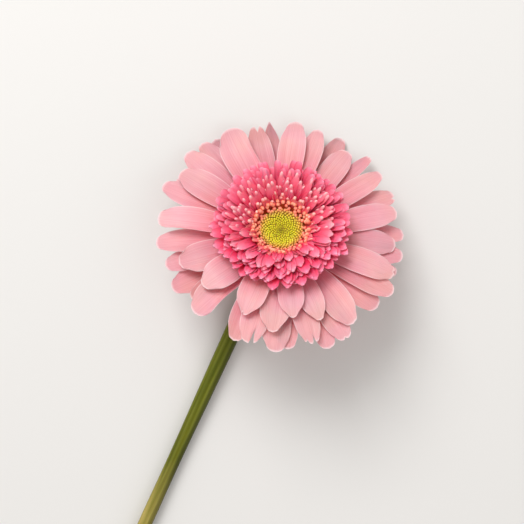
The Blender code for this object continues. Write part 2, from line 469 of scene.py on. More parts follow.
def petal_finish(settings):
    """Satin petal: deeper toward the root, partly its own colour and partly painted shade near the
    crest, a little darker at the tip as painted shade, a pale rim, fine veins along it.
    """
    material, tree = new_finish(
        "petal_satin", 0.5, Subsurface_Weight=0.55, Subsurface_Scale=0.002,
        Subsurface_Radius=(1.0, 0.5, 0.5), Sheen_Weight=0.12, Sheen_Roughness=0.5,
        Specular_IOR_Level=0.35)
    across, along, place = uv_place(tree)
    root, middle, blade, tip, vein, edge = [(*color, 1.0) for color in (
        settings.root_color, settings.mid_color, settings.blade_color, settings.tip_color,
        settings.vein_color, settings.rim_color)]
    # painted shade: the root and middle colours are deepened near the crest and the tip colour
    # darkened, besides the petal's own deeper pink at its root
    body = ramp(tree, along, [(0.2, root), (0.46, middle), (0.8, blade), (1.0, tip)])
    veins = noise(tree, 1.0, 4.0, (26.0, 1.1, 1.0), place)
    streaks = ramp(tree, veins, [(0.36, BLACK), (0.64, WHITE)])
    veined = blend(tree, streaks * 0.55, body, vein, "MULTIPLY")
    mottle = ramp(tree, noise(tree, 70.0), [
        (0.36, (0.95, 0.91, 0.96, 1)), (0.5, (1, 0.97, 0.97, 1)), (0.64, (1, 1, 0.92, 1))])
    # per-petal tone: partly random, partly painted shade that darkens the lower petals
    tone_ramp = ramp(tree, attribute(tree, "tone"), [(0.0, (0.82, 0.70, 0.73, 1)), (0.8, WHITE)])
    at_edge = off_middle(across).step("MAXIMUM", along ** 3.0)
    rim = ramp(tree, at_edge, [(0.93, BLACK), (0.99, WHITE)])
    paint(tree, blend(tree, rim * 0.5, multiply(tree, veined, mottle, tone_ramp), edge),
          veins, 0.00012, 0.5)
    return material


# Colours of the small florets as (place from foot to tip, red, green, blue), first on the
# head's low side, then on its high side. The deep colours toward each foot are partly the
# florets' own and partly painted shade where they shade one another; the two sides' ramps
# are lit and shaded copies of one colour, painted light and shade.
FLORET_COLORS = {
    "crest_satin": (
        ((0.0, 190, 0, 42), (0.5, 214, 40, 82), (0.72, 230, 96, 126), (0.9, 238, 126, 150),
         (1.0, 248, 162, 182)),
        ((0.0, 190, 0, 42), (0.56, 214, 4, 60), (0.76, 234, 66, 106), (0.9, 244, 120, 150),
         (1.0, 252, 168, 190))),
    "crest_pale_tip": (
        ((0.0, 194, 6, 48), (0.45, 222, 54, 90), (0.7, 236, 106, 130), (0.84, 242, 130, 148),
         (0.92, 250, 174, 180), (1.0, 255, 204, 204)),
        ((0.0, 194, 0, 46), (0.4, 222, 24, 74), (0.64, 238, 92, 124), (0.84, 246, 130, 154),
         (0.94, 250, 156, 174), (1.0, 253, 176, 192))),
    "crest_peach_tip": (
        ((0.0, 190, 34, 40), (0.4, 226, 78, 88), (0.66, 242, 116, 126), (0.82, 246, 140, 142),
         (0.9, 250, 178, 164), (1.0, 255, 204, 192)),
        ((0.0, 212, 34, 70), (0.4, 236, 88, 106), (0.7, 246, 126, 134), (0.88, 250, 146, 144),
         (0.94, 252, 166, 158), (1.0, 255, 186, 170))),
    "inner_peach": (
        ((0.0, 140, 34, 6), (0.45, 184, 52, 24), (0.72, 214, 88, 62), (0.86, 238, 142, 110),
         (1.0, 255, 186, 156)),
        ((0.0, 236, 96, 104), (0.4, 248, 128, 126), (0.76, 250, 146, 134),
         (0.9, 252, 168, 140), (1.0, 255, 194, 156))),
}


def floret_finish(name, vein=0.5):
    """Satin of the small florets: deep toward the foot, partly their own colour and partly painted
    shade between them, in painted lit and shaded copies on the low and high sides, their curled
    tips pale on the low side.
    """
    material, tree = new_finish(
        name, 0.6, Subsurface_Weight=0.5, Subsurface_Scale=0.0005,
        Subsurface_Radius=(1.0, 0.25, 0.3), Specular_IOR_Level=0.05)
    across, along, place = uv_place(tree)
    low, high = [ramp(tree, along, seen(*stops)) for stops in FLORET_COLORS[name]]
    # painted light and shade: the low and high sides take different copies of one colour
    body = blend(tree, high_side(tree), low, high)
    tone_ramp = ramp(tree, attribute(tree, "tone"), [(0.0, (0.94, 0.66, 0.74, 1)), (1.0, WHITE)])
    edge = ramp(tree, off_middle(across), [(0.5, WHITE), (1.0, (1, 0.72, 0.8, 1))])
    veins = noise(tree, 1.0, 2.0, (9.0, 1.0, 1.0), place)
    paint(tree, multiply(tree, body, tone_ramp, edge), veins, strength=vein)
    return material


def bud_finish():
    """Waxy closed buds: yellow-green in the middle, peach at the rim, dark between as painted
    shade low on each bud, which leaves each top bright like a highlight.
    """
    material, tree = new_finish(
        "bud_wax", 0.38, Subsurface_Weight=0.3, Subsurface_Scale=0.0006,
        Subsurface_Radius=(1.0, 0.8, 0.2), Specular_IOR_Level=0.45)
    across, along, _ = uv_place(tree)
    by_radius = ramp(tree, across, seen(
        (0.0, 128, 128, 8), (0.1, 196, 192, 26), (0.24, 232, 228, 46), (0.62, 244, 238, 62),
        (0.8, 248, 222, 90), (0.92, 250, 192, 112), (1.0, 250, 160, 124)))
    # painted shade: each bud darkened low down between its neighbours, its top left full bright
    painted_shade_by_height = ramp(tree, along, [(0.5, tint(176, 150, 24)), (0.86, WHITE)])
    tone_ramp = ramp(tree, attribute(tree, "tone"), [(0.0, (0.8, 0.8, 0.75, 1)), (1.0, WHITE)])
    paint(tree, multiply(tree, by_radius, painted_shade_by_height, tone_ramp), noise(tree, 2500.0, 2.0), 0.00004, 0.4)
    return material


def bed_finish():
    """The floor of the disc, seen only between the buds."""
    material, tree = new_finish("disc_bed", 0.7)
    color = ramp(tree, noise(tree, 900.0), seen((0.3, 150, 120, 14), (0.7, 180, 150, 24)))
    paint(tree, color, noise(tree, 1800.0))
    return material


def cushion_finish():
    """What shows between the closed florets: red-brown, peach pink on the high side; the change
    from one side to the other is painted light and shade, as on the florets.
    """
    material, tree = new_finish("crest_cushion", 0.7, Specular_IOR_Level=0.05)
    mottle = noise(tree, 900.0)
    low = ramp(tree, mottle, seen((0.3, 168, 56, 20), (0.7, 206, 92, 50)))
    high = ramp(tree, mottle, seen((0.3, 216, 84, 88), (0.7, 240, 116, 112)))
    # painted light and shade: red-brown on the low side, peach pink on the high side
    paint(tree, blend(tree, high_side(tree), low, high), noise(tree, 1800.0))
    return material


def receptacle_finish():
    """The swollen end of the stem: deep red under the florets, green below them."""
    material, tree = new_finish("receptacle_skin", 0.65)
    _, along, _ = uv_place(tree)
    body = ramp(tree, along, seen((0.0, 120, 20, 30), (0.2, 150, 60, 50),
                                  (0.35, 110, 120, 50), (1.0, 104, 116, 40)))
    mottle = ramp(tree, noise(tree, 500.0), [(0.3, (0.8, 0.8, 0.75, 1)), (0.7, WHITE)])
    paint(tree, multiply(tree, body, mottle), noise(tree, 900.0))
    return material


def stem_finish():
    """Ribbed downy stem: olive, paler on the ribs as a painted highlight, with a brown patch and
    painted shade down one side.
    """
    material, tree = new_finish(
        "stem_skin", 0.55, Subsurface_Weight=0.1, Subsurface_Scale=0.001,
        Subsurface_Radius=(0.6, 1.0, 0.2), Sheen_Weight=0.08, Sheen_Roughness=0.4,
        Specular_IOR_Level=0.15)
    along, rib, flank = [attribute(tree, name) for name in ("along", "rib", "flank")]
    wander = noise(tree, 60.0, 4.0, (1.0, 0.25, 1.0)) * 0.12 + along
    body = ramp(tree, wander, seen(
        (0.06, 90, 98, 14), (0.2, 94, 100, 10), (0.36, 98, 98, 14), (0.42, 176, 156, 88),
        (0.5, 136, 120, 38), (0.9, 112, 104, 30), (1.0, 112, 102, 40)))
    # painted highlight: the ribs are painted paler, as where they catch the light
    ribbed = blend(tree, rib * 0.24, body, tint(156, 160, 74))
    fine = noise(tree, 500.0, 5.0, (1.0, 0.06, 1.0))
    streak = ramp(tree, fine, [(0.36, (0.62, 0.66, 0.45, 1)), (0.62, WHITE)])
    # painted shade: the stem is darkened down the side away from the light
    shade = ramp(tree, flank, [(0.4, WHITE), (0.92, (0.36, 0.38, 0.24, 1))])
    paint(tree, multiply(tree, ribbed, shade, streak), fine, 0.0002, 0.5)
    return material


def bract_finish():
    """Downy green bracts with a reddish point."""
    material, tree = new_finish("bract_down", 0.65, Sheen_Weight=0.35)
    _, along, place = uv_place(tree)
    body = ramp(tree, along, seen((0.0, 104, 122, 44), (0.6, 92, 116, 44),
                                  (0.9, 96, 104, 46), (1.0, 120, 74, 56)))
    fine = noise(tree, 1.0, 3.0, (12.0, 1.2, 1.0), place)
    streak = ramp(tree, fine, [(0.3, (0.72, 0.76, 0.68, 1)), (0.7, WHITE)])
    paint(tree, multiply(tree, body, streak), fine, 0.0002, 0.6)
    return material


# ---------------- settings

def length_prop(name, description, default):
    return FloatProperty(name=name, description=description, default=default, unit="LENGTH")


def angle_prop(name, description, default):
    return FloatProperty(name=name, description=description, default=default, subtype="ANGLE")


def share_prop(name, description, default):
    return FloatProperty(name=name, description=description, default=default, min=0.0)


def count_prop(name, description, default):
    return IntProperty(name=name, description=description, default=default, min=1)


def color_prop(name, description, default):
    return FloatVectorProperty(name=name, description=description, default=default[:3],
                               subtype="COLOR")


class GerberaPetals(bpy.types.PropertyGroup):
    thickness: length_prop("Thickness", "Thickness at the middle of a petal", 0.3 * MM)
    edge: length_prop("Edge", "Thickness at a petal's edge", 0.1 * MM)
    fullness: share_prop("Fullness", "Width beside the model petal's", 1.05)
    cup: length_prop("Cup", "How far the edges stand above the middle", 0.45 * MM)
    groove: length_prop("Groove", "Depth of the two folds along a petal", 0.14 * MM)
    wave: length_prop("Wave", "Waviness of the edges", 0.22 * MM)
    # partly the petal's own deeper pink and partly painted shade near the crest
    root_color: color_prop("Root", "Colour near the crest", tint(236, 112, 132))
    mid_color: color_prop("Middle", "Colour beside the crest", tint(240, 145, 157))
    blade_color: color_prop("Blade", "Colour of the open blade", tint(239, 174, 179))
    # painted shade: darker than the blade, where the tip turns away from the light
    tip_color: color_prop("Tip", "Colour at the tip", tint(229, 167, 170))
    vein_color: color_prop("Veins", "Shade of the fine veins", (0.86, 0.62, 0.66))
    rim_color: color_prop("Rim", "Pale edge of a petal", tint(255, 222, 224))


class GerberaCrest(bpy.types.PropertyGroup):
    thickness: length_prop("Thickness", "Thickness of a floret", 0.26 * MM)
    channel: length_prop("Channel", "How far a floret's edges are lifted", 0.65 * MM)
    drift: angle_prop("Drift", "Turn from one whorl to the next", 0.37)
    widening: share_prop("Widening", "How much wider on the high side", 0.3)
    aside: length_prop("Aside", "How far the inner rows are set to the high side", 0.6 * MM)
    askew: angle_prop("Askew", "Most that a floret leans out of line", 0.12)


class GerberaDisc(bpy.types.PropertyGroup):
    buds: count_prop("Buds", "Closed buds on the disc", 300)
    radius: length_prop("Radius", "Radius of the outermost buds", 7.7 * MM)
    aside: length_prop("Aside", "How far the buds are set to the high side", 0.6 * MM)
    spread: share_prop("Spread", "Above a half, buds crowd to the middle", 0.58)


class GerberaStem(bpy.types.PropertyGroup):
    # painted shade: the side round the stem that is painted darkest, as if away from the light
    painted_shade_side: angle_prop("Painted shade side", "Where round the stem it is darkest", math.radians(185.0))
    ribs: count_prop("Ribs", "Ribs round the stem", 9)
    rib_depth: share_prop("Rib depth", "Depth between ribs, as a share of the radius", 0.07)


class GerberaStage(bpy.types.PropertyGroup):
    lean: angle_prop("Camera lean", "Camera's lean from straight above", math.radians(6.0))
    distance: length_prop("Distance", "From the camera to the flower", 0.34)
    view_angle: angle_prop("View angle", "Camera's angle of view", math.radians(30.0))
    right: length_prop("Right", "How far right of centre the head is", 6.6 * MM)
    up: length_prop("Up", "How far above centre the head is", 11.1 * MM)
    floor_color: color_prop("Floor", "Colour of the pale floor", tint(224, 222, 219))


# ---------------- petals

PETAL_ROWS, PETAL_COLUMNS = 30, 17
# How far from root to tip a petal is widest.
WIDEST = 0.68
# Tips that aren't plain: petal number to the place across, depth in mm and width of its splits.
SPLITS = {20: ((-0.25, 3.2, 0.16), (0.5, 1.2, 0.2)), 25: ((-0.25, 5.0, 0.2),),
          27: ((0.375, 0.9, 0.2),), 43: ((0.125, 1.8, 0.3),), 7: ((0.25, 0.9, 0.2),),
          12: ((-0.25, 0.6, 0.2),), 17: ((0.0, 0.8, 0.2),)}
# How blunt a tip is: its width as a share of the petal's, where it isn't the usual.
TIP_WIDTHS = {5: 0.6, 10: 0.72, 15: 0.72, 18: 0.4, 21: 0.36, 24: 0.44, 27: 0.34, 31: 0.56,
              42: 0.72, 44: 0.1, 6: 0.54, 16: 0.58, 32: 0.58}
# Petals whose edge folds over: the side that folds, and how far in mm.
FOLDS = {35: (-1, 1.1), 9: (1, 0.9), 42: (1, 0.5), 28: (-1, 0.5)}
# How far a tip bends sideways in mm, where it isn't left to chance.
SWAYS = {44: -1.6, 43: 0.3, 5: 0.2, 27: -0.6}


def rise(value, start, end):
    """From 0 at the start to 1 at the end, level before and after."""
    return np.clip((value - start) / (end - start), 0, 1)


def petal_mesh(number, spine, lit, settings):
    """One ray floret: claw, ribbed blade and rounded tip, as a closed thin body."""
    chance = np.random.default_rng(100 + number)
    v, s = np.meshgrid(np.linspace(0, 1, PETAL_ROWS), np.linspace(-1, 1, PETAL_COLUMNS),
                       indexing="ij")
    t = 1.0 - (1.0 - v) ** 1.9
    tip_width = TIP_WIDTHS.get(number, chance.uniform(0.58, 0.7))
    opening = np.sin(np.pi / 2 * rise(t, 0.0, WIDEST)) ** 1.3
    closing = 1.0 - (1.0 - tip_width) * rise(t, WIDEST, 1.0) ** 2.4
    half = settings.fullness * np.where(
        t < WIDEST, spine.claw + (spine.half_width - spine.claw) * opening,
        spine.half_width * closing)
    near_tip = rise(t, 0.7, 1.0) ** 2.0
    tip_line = 0.09 * MM * chance.uniform(0.2, 1.4) * (np.cos(3.0 * np.pi * s) - 1) * (1 - s * s)
    corner = 0.3 + 0.85 * tip_width * spine.half_width / MM
    tip_line = tip_line - corner * MM * (1 - (1 - np.abs(s) ** 2.3) ** 0.6)
    for place, depth, width in SPLITS.get(number, ()):
        tip_line = tip_line - depth * MM * np.clip(1.0 - np.abs(s - place) / width, 0, 1)
    y = spine.root + (spine.reach - spine.root) * t + tip_line * near_tip
    sway = SWAYS.get(number, chance.uniform(-0.8, 0.8)) * MM
    x = s * half + sway * np.sin(np.pi / 2 * t) * t * t
    outward = rise(t, 0.15, 0.65)
    cup = settings.cup * (s * s - 0.33) * outward * chance.uniform(0.4, 1.5)
    curl = chance.uniform(-0.75, 0.35) * MM * rise(t, 0.72, 1.0) ** 2
    grooves = -settings.groove * (np.exp(-((s - chance.uniform(0.28, 0.42)) / 0.11) ** 2)
                                  + np.exp(-((s + chance.uniform(0.28, 0.42)) / 0.11) ** 2))
    wave = settings.wave * s * np.abs(s) * np.sin(2 * np.pi * (1.3 * t + chance.random()))
    bank = chance.uniform(-0.4, 0.4) * MM * s * outward
    body = rise(t, 0.0, 0.125) * (1.0 - 0.8 * near_tip)
    z = spine.height(np.hypot(x, y)) + cup + curl + (grooves + wave) * body + bank
    if number in FOLDS:
        side, lift = FOLDS[number]
        fold = rise(side * s, 0.45, 1.0) ** 1.5 * outward * (1 - near_tip)
        z = z + lift * MM * fold
        x = x - side * 0.35 * half * fold
    thick = settings.edge + (settings.thickness - settings.edge) * (1 - s ** 4) * (
        1 - 0.6 * near_tip)
    cos, sin = math.cos(spine.direction), math.sin(spine.direction)
    top, under = [np.stack((x * cos + y * sin, y * cos - x * sin, z + thick * share), axis=-1)
                  for share in (0.5, -0.5)]
    mesh = sheet_mesh(f"petal_{number:02d}", top, under, (s + 1) / 2, t)
    mesh.transform(HEAD)
    lowest = min(vertex.co.z for vertex in mesh.vertices)
    if lowest < 0:
        mesh.transform(Matrix.Translation((0, 0, -lowest)))
    tone = mesh.attributes.new("tone", "FLOAT", "POINT")
    # painted shade: the tone is mostly how high the petal lies, so lower petals are darker as if
    # shaded by those above, with a little random tone
    tone.data.foreach_set("value", np.full(len(mesh.vertices), 0.7 * lit + 0.3 * chance.random()))
    return mesh


class GERBERA_OT_petals(bpy.types.Operator):
    """Grow the long pale petals on their model petals"""
    bl_idname = "gerbera.petals"
    bl_label = "Petals"

    def execute(self, context):
        settings = context.scene.gerbera_petals
        finish = petal_finish(settings)
        spines = [RaySpine(node) for node in RAY_NODES]
        heights = [spine.height(0.8 * spine.reach) for spine in spines]
        for number, (node, spine, height) in enumerate(zip(RAY_NODES, spines, heights), 1):
            # painted shade: 0 for the lowest petals, which get the darkest tone, 1 for the highest
            lit = np.interp(height, (min(heights), max(heights)), (0.0, 1.0))
            mesh = petal_mesh(number, spine, lit, settings)
            mesh.materials.append(finish)
            petal = link(bpy.data.objects.new(f"petal_{number:02d}", mesh))
            finish_piece(petal, [node])
        return {"FINISHED"}


# ---------------- florets

def loft(name, rings, shares, creases=()):
    """One floret through its rings, its UV map along and across them."""
    count = len(rings[0])
    mesh = ringed_mesh(name, rings)
    widest = [max(abs(point[0]) for point in ring) for ring in rings]
    corners = corner_vertices(mesh)
    across = [point[0] / width / 2.0 + 0.5 for ring, width in zip(rings, widest) for point in ring]
    lay_uv(mesh, np.array(across)[corners], np.array(shares)[corners // count])
    mesh.shade_smooth()
    for edge in mesh.edges:
        a, b = edge.vertices
        edge.use_edge_sharp = a % count in creases and a % count == b % count
    return bpy.data.objects.new(name, mesh)


def curled_line(line, curl, curl_start, shares):
    """Places and headings along a floret in its upright plane, from its foot to its curled tip."""
    base, shoulder, tip = line
    fine = np.linspace(0, 1, 161)[:, None]
    bend = (1 - fine) ** 2 * base + 2 * fine * (1 - fine) * shoulder + fine ** 2 * tip
    pieces = np.diff(bend, axis=0)
    lengths = np.linalg.norm(pieces, axis=1)
    run = np.cumsum(lengths) / lengths.sum()
    turned = np.arctan2(pieces[:, 1], pieces[:, 0]) + curl * rise(run, curl_start, 1.0) ** 1.3
    steps = np.stack((np.cos(turned), np.sin(turned)), axis=1) * lengths[:, None]
    places = np.concatenate((np.zeros((1, 2)), np.cumsum(steps, axis=0)))
    run = np.concatenate(((0.0,), run))
    turned = np.append(turned, turned[-1])
    out, up, heading = [np.interp(shares, run, part) for part in (*places.T, turned)]
    return out, up, np.cos(heading), np.sin(heading)


# A blade's section from one edge to the other over its inner face and back under it: across,
# edge lift and whether it is on the underside; then the same points on a round bead.
BLADE_SECTION = ((-1.0, 1.0, 0), (-0.5, 0.05, 0), (0.0, 0.35, 0), (0.5, 0.05, 0), (1.0, 1.0, 0),
                 (0.6, 0.1, 1), (-0.6, 0.1, 1))
BEAD_SECTION = ((-1.0, 0.1), (-0.7, 0.75), (0.0, 1.0), (0.7, 0.75), (1.0, 0.1), (0.55, -0.8),
                (-0.55, -0.8))
# The section's points that are edges, and how far each point goes ahead to make teeth.
BLADE_EDGES = (0, 4)
BLADE_TEETH = (-1.0, 0.25, -0.3, 0.35, -1.0, 0.0, 0.0)
# Places from foot to tip: of the rings, then of where the blade has its full width, curls,
# narrows, swells into a bead from start to end, falls off beyond the bead, and has its teeth.
BLADE_SHARES = (0.0, 0.24, 0.44, 0.62, 0.76, 0.84, 0.9, 0.945, 0.98, 1.0)
FULL_WIDTH, CURL_START, NARROWING, TEETH_START = 0.6, 0.74, 0.76, 0.9
BEAD_START, BEAD_END, BEAD_TOP = 0.8, 0.88, 0.93


def blade_template(name, line, half_width, thickness, channel, tip_width, curl, teeth=0.0,
                   bead=0.0, foot_width=0.4):
    """A floret or bract: a channelled strap with its foot at the origin, outward along Y."""
    out, up, run, climb = curled_line(line, curl, CURL_START, BLADE_SHARES)
    rings = []
    for k, share in enumerate(BLADE_SHARES):
        width = half_width * (foot_width + (1 - foot_width) * math.sin(
            math.pi / 2 * rise(share, 0.0, FULL_WIDTH)))
        width *= tip_width + (1 - tip_width) * math.sqrt(1.0 - rise(share, NARROWING, 1.0) ** 2)
        roundness = rise(share, BEAD_START, BEAD_END) if bead else 0.0
        swelling = bead * (1.0 - 0.6 * rise(share, BEAD_TOP, 1.0) ** 2)
        ring = []
        for strap, ball, tooth in zip(BLADE_SECTION, BEAD_SECTION, BLADE_TEETH):
            inward = channel * strap[1] * width / half_width - thickness * strap[2]
            aside = strap[0] * width + roundness * (ball[0] * swelling - strap[0] * width)
            inward += roundness * (ball[1] * swelling - inward)
            ahead = teeth * tooth * rise(share, TEETH_START, 1.0)
            ring.append((aside, out[k] - climb[k] * inward + run[k] * ahead,
                         up[k] + run[k] * inward + climb[k] * ahead))
        rings.append(ring)
    return loft(name, rings, BLADE_SHARES, BLADE_EDGES)


# A closed floret's place from foot to tip, and its width there as a share of its widest.
CLUB_PROFILE = ((0.0, 0.55), (0.35, 0.6), (0.6, 0.72), (0.76, 0.95), (0.87, 1.0), (0.95, 0.78),
                (1.0, 0.35))
CLUB_SIDES = 7


def club_template(name, line, half_width, curl):
    """A closed floret bud: a stalk that swells to a round nodding head."""
    shares = [share for share, _ in CLUB_PROFILE]
    out, up, run, climb = curled_line(line, curl, 0.5, shares)
    rings = []
    for k, (_, width) in enumerate(CLUB_PROFILE):
        ring = []
        for j in range(CLUB_SIDES):
            angle = math.tau * j / CLUB_SIDES
            inward = half_width * width * math.sin(angle)
            ring.append((half_width * width * math.cos(angle), out[k] - climb[k] * inward,
                         up[k] + run[k] * inward))
        rings.append(ring[::-1])
    return loft(name, rings, shares)


def whorl_tree():
    """Blades set round a circle, every other one shorter and further in, each a little askew."""
    tree, given = new_tree(
        "Whorl", Int=("Count", "Seed"), Float=(
            "Radius", "Height", "Turn", "Short", "Inset", "Askew", "Droop", "Widen", "Aside",
            "Size Spread"), Object=("Blade", "High Blade"), Material=("Material",))
    ring = wire(tree, "GeometryNodeMeshCircle", {
        "Vertices": given["Count"], "Radius": given["Radius"]})
    index = wire(tree, "GeometryNodeInputIndex")
    place = wire(tree, "GeometryNodeInputPosition")
    odd = index % 2.0
    ring = wire(tree, "GeometryNodeSetPosition", {
        "Geometry": ring,
        "Position": vector_math(tree, "SCALE", place, scale=1.0 - odd * given["Inset"])})
    ring = wire(tree, "GeometryNodeTransform", {
        "Geometry": ring, "Rotation": vector(tree, 0.0, 0.0, given["Turn"]),
        "Translation": vector(tree, 0.0, given["Aside"] * -1.0, given["Height"])})

    def chance(step, most):
        return random_value(tree, given, step, most * -1.0, most)

    askew, spread = given["Askew"], given["Size Spread"]
    uphill = parts_of(tree, vector_math(tree, "NORMALIZE", place))[1] * -0.5 + 0.5
    turned = index / given["Count"] * math.tau - math.pi / 2 + given["Turn"]
    facing = vector(tree, chance(0, askew) - uphill * given["Droop"], chance(1, askew) * 2.2,
                    turned + chance(2, askew) * 0.5)
    length = 1.0 - odd * given["Short"] + chance(7, spread)
    width = uphill * given["Widen"] + 1.0 + chance(8, spread) * 2.0
    is_high = (uphill + chance(5, 0.12)).step("GREATER_THAN", 0.6)
    whorl = wire(tree, "GeometryNodeJoinGeometry")
    for kind, chosen in (("Blade", 1.0 - is_high), ("High Blade", is_high)):
        blade = wire(tree, "GeometryNodeObjectInfo", {"Object": given[kind]})["Geometry"]
        placed = wire(tree, "GeometryNodeInstanceOnPoints", {
            "Points": ring, "Selection": chosen, "Instance": blade, "Rotation": facing,
            "Scale": vector(tree, width, length, length)})
        tree.links.new(placed.socket, whorl.socket.node.inputs[0])
    tone = random_value(tree, given, 11, 0.0, 1.0)
    close_tree(tree, store(tree, whorl, "tone", tone, "INSTANCE"), given["Material"])
    return tree


def grow_whorl(name, tree, line, blades, finish, **values):
    """Run the whorl tree with one blade or a low and a high one, and put it on the head."""
    given = {"Radius": float(line[0][0]), "Height": float(line[0][1]), "Inset": 0.04,
             "Size Spread": 0.07, "Blade": blades[0], "High Blade": blades[-1],
             "Material": finish}
    piece = grow(name, tree, {**given, **values})
    for blade in blades:
        bpy.data.objects.remove(blade)
    piece.data.transform(HEAD)
    return piece


# Each whorl's florets, half width in mm, tip width, curl, radius of the bead at the tip in mm,
# shortness of every other floret, and extra lean on the uphill side.
CREST_ROWS = ((98, 1.4, 0.5, 0.0, 0.0, 0.08, 0.0), (90, 1.4, 0.5, 0.3, 0.0, 0.10, 0.0),
              (80, 1.3, 0.45, 0.9, 0.56, 0.14, 0.03), (66, 1.2, 0.45, 1.2, 0.6, 0.2, 0.08),
              (50, 1.05, 0.5, 1.3, 0.66, 0.28, 0.18))
TOOTHED_ROWS = 2
FLORET_TEETH, RUFFLE_TEETH = 0.2 * MM, 0.35 * MM
# The closed florets inside the crest: how many, then foot radius, head radius, height and half
# width in mm, and curl.
INNER_ROWS = ((20, 8.4, 7.3, 2.2, 0.66, 0.5), (20, 9.1, 8.1, 3.0, 0.71, 0.65),
              (22, 9.8, 8.9, 4.0, 0.76, 0.8), (34, 10.6, 9.8, 5.2, 0.81, 0.95))
# The cushion that they grow out of: half outline of radius and height in mm.
CUSHION = ((8.0, 0.4), (8.6, 1.5), (9.3, 2.4), (10.2, 3.0), (10.9, 2.4), (11.0, 0.2))


class GERBERA_OT_crest(bpy.types.Operator):
    """Grow the crest of short deep pink florets, whorl inside whorl"""
    bl_idname = "gerbera.crest"
    bl_label = "Crest"

    def execute(self, context):
        settings = context.scene.gerbera_crest
        tree = whorl_tree()
        outer, middle, inner = [floret_finish(name) for name in (
            "crest_satin", "crest_pale_tip", "crest_peach_tip")]
        finishes = (outer, outer, middle, middle, inner)
        for number, (node, row) in enumerate(zip(CREST_NODES, CREST_ROWS)):
            count, half_width, tip_width, curl, bead, short, droop = row
            line = whorl_line(node)
            teeth = FLORET_TEETH if number < TOOTHED_ROWS else 0.0
            blade = blade_template("floret", line, half_width * MM, settings.thickness,
                                   settings.channel, tip_width, curl, teeth, bead * MM)
            ruffle = blade_template("ruffle", line, 1.1 * half_width * MM, settings.thickness,
                                    1.2 * settings.channel, 0.34, 0.3 * curl, RUFFLE_TEETH)
            piece = grow_whorl(
                f"crest_{number + 1}", tree, line, (blade, ruffle), finishes[number],
                Count=count, Turn=settings.drift * number, Short=short, Droop=droop,
                Widen=settings.widening, Askew=settings.askew, Seed=20 * number + 3)
            finish_piece(piece, [node])
        self.inner_rows(tree, settings)
        return {"FINISHED"}

    def inner_rows(self, tree, settings):
        """Closed peach florets between the crest and the disc, on their cushion."""
        peach = floret_finish("inner_peach", 0.3)
        cushion = turned_body("inner_cushion", [np.array(place) * MM for place in CUSHION],
                              TURNED_SIDES)
        cushion.data.materials.append(cushion_finish())
        cushion.data.transform(HEAD @ Matrix.Translation((0.0, -settings.aside, 0.0)))
        finish_piece(cushion)
        for number, (count, foot, head, height, half_width, curl) in enumerate(INNER_ROWS):
            base, tip = np.array((foot, 0.0)) * MM, np.array((head, height)) * MM
            line = (base, base + (tip - base) * np.array((0.2, 0.55)), tip)
            club = club_template("closed_floret", line, half_width * MM, curl)
            piece = grow_whorl(f"inner_florets_{number + 1}", tree, line, (club,), peach,
                               Count=count, Turn=0.15 + 0.16 * number, Inset=0.0,
                               Askew=0.1, Droop=0.1, Aside=settings.aside,
                               Seed=150 + 9 * number)
            finish_piece(piece)


# ---------------- disc and bracts

# A bud's half width, how much taller one at the rim is, and how far one strays from the spiral.
BUD_SIZE, RIM_HEIGHT, BUD_STRAY = 0.5 * MM, 0.5 * MM, 0.12 * MM
BRACT_HALF_WIDTH, BRACT_THICKNESS, BRACT_CHANNEL = 1.5 * MM, 0.35 * MM, 0.25 * MM
TURNED_SIDES = 64


def bud_tree():
    """Buds set in a sunflower spiral on a surface, taller and leaning outward at its rim."""
    tree, given = new_tree(
        "Buds", Int=("Count", "Seed"), Float=("Radius", "Spread", "Size", "Rim Height"),
        Object=("Bed",), Material=("Material",))
    index = wire(tree, "GeometryNodeInputIndex")
    ratio = ((index + 0.5) / given["Count"]) ** given["Spread"]
    radius, angle = ratio * given["Radius"], index * GOLDEN_ANGLE
    aside, ahead = [random_value(tree, given, step, -BUD_STRAY, BUD_STRAY) for step in (1, 2)]
    above = vector(tree, radius * angle.step("COSINE") + aside,
                   radius * angle.step("SINE") + ahead, 0.02)
    bed = wire(tree, "GeometryNodeObjectInfo", {"Object": given["Bed"]})["Geometry"]
    hit = wire(tree, "GeometryNodeRaycast", {
        "Target Geometry": bed, "Source Position": above, "Ray Direction": (0.0, 0.0, -1.0),
        "Ray Length": 0.05})
    points = wire(tree, "GeometryNodePoints", {
        "Count": given["Count"], "Position": hit["Hit Position"]})
    upright = vector_math(tree, "ADD", hit["Hit Normal"], (0.0, 0.0, 0.8))
    facing = wire(tree, "FunctionNodeAlignRotationToVector", {"Vector": upright}, axis="Z")
    ball = wire(tree, "GeometryNodeMeshUVSphere", {"Segments": 7, "Rings": 5, "Radius": 1.0})
    height = parts_of(tree, wire(tree, "GeometryNodeInputPosition"))[2] * 0.5 + 0.5
    width = given["Size"] * (ratio ** 0.6 * 0.58 + 0.42)
    tall = width * (random_value(tree, given, 3, -0.35, 0.35) + 2.0)
    buds = wire(tree, "GeometryNodeInstanceOnPoints", {
        "Points": points, "Instance": store(tree, ball, "height", height), "Rotation": facing,
        "Scale": vector(tree, width, width, tall + ratio ** 6.0 * given["Rim Height"])})
    tone = random_value(tree, given, 0, 0.0, 1.0)
    for name, value in (("ring", ratio), ("tone", tone)):
        buds = store(tree, buds, name, value, "INSTANCE")
    close_tree(tree, buds, given["Material"])
    return tree


def turned_body(name, outline, sides):
    """A closed body turned on the flower's axis, from (radius, height) pairs, top to bottom."""
    turns = [math.tau * j / sides for j in range(sides)]
    rings = [[(out * math.cos(angle), out * math.sin(angle), up) for angle in turns]
             for out, up in outline]
    mesh = ringed_mesh(name, rings, flip=True)
    corners = corner_vertices(mesh)
    lay_uv(mesh, corners % sides / sides, corners // sides / (len(outline) - 1))
    return link(bpy.data.objects.new(name, mesh))


